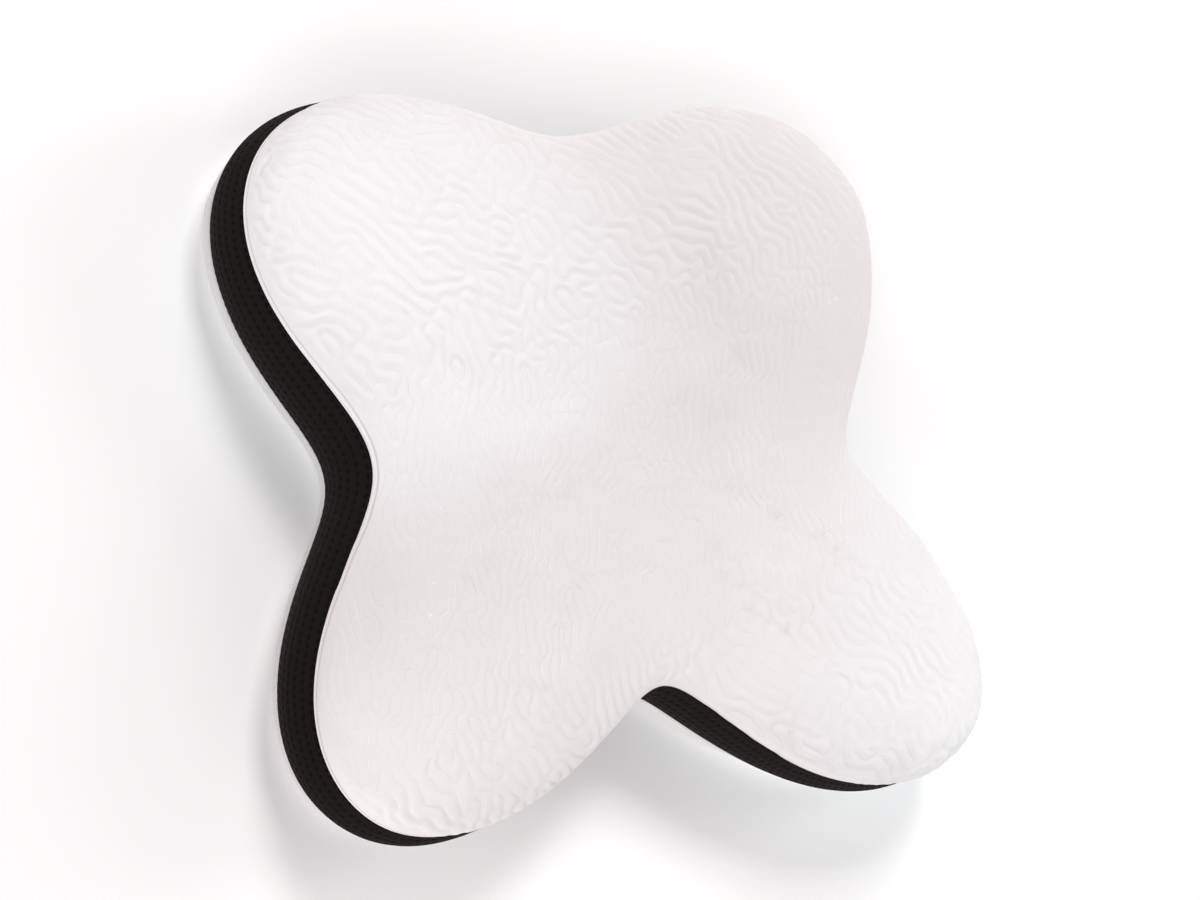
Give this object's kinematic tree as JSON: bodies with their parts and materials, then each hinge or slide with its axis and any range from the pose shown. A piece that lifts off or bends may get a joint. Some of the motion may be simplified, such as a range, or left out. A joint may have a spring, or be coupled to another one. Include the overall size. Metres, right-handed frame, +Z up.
{
  "type": "cervical pillow",
  "caption": "Butterfly-shaped cervical pillow with rounded lobes, a crowned white knit top, a black air-mesh side band and a flat white back.",
  "frame": {"origin": "under the middle of the pillow, on the face it rests on", "axes": "+Z up from the resting face, +X across the pillow, +Y from the longer lobes to the shorter lobes"},
  "size_m": [0.4942, 0.4518, 0.104],
  "materials": {
    "white_knit": "embossed double-layer knit, soft matt",
    "black_air_mesh": "spacer mesh with small oval holes, matt",
    "white_back_cloth": "plain brushed knit, matt"
  },
  "bodies": {
    "root": {"top_panel": "white_knit", "side_band": "black_air_mesh", "back_panel": "white_back_cloth"}
  },
  "joints": []
}
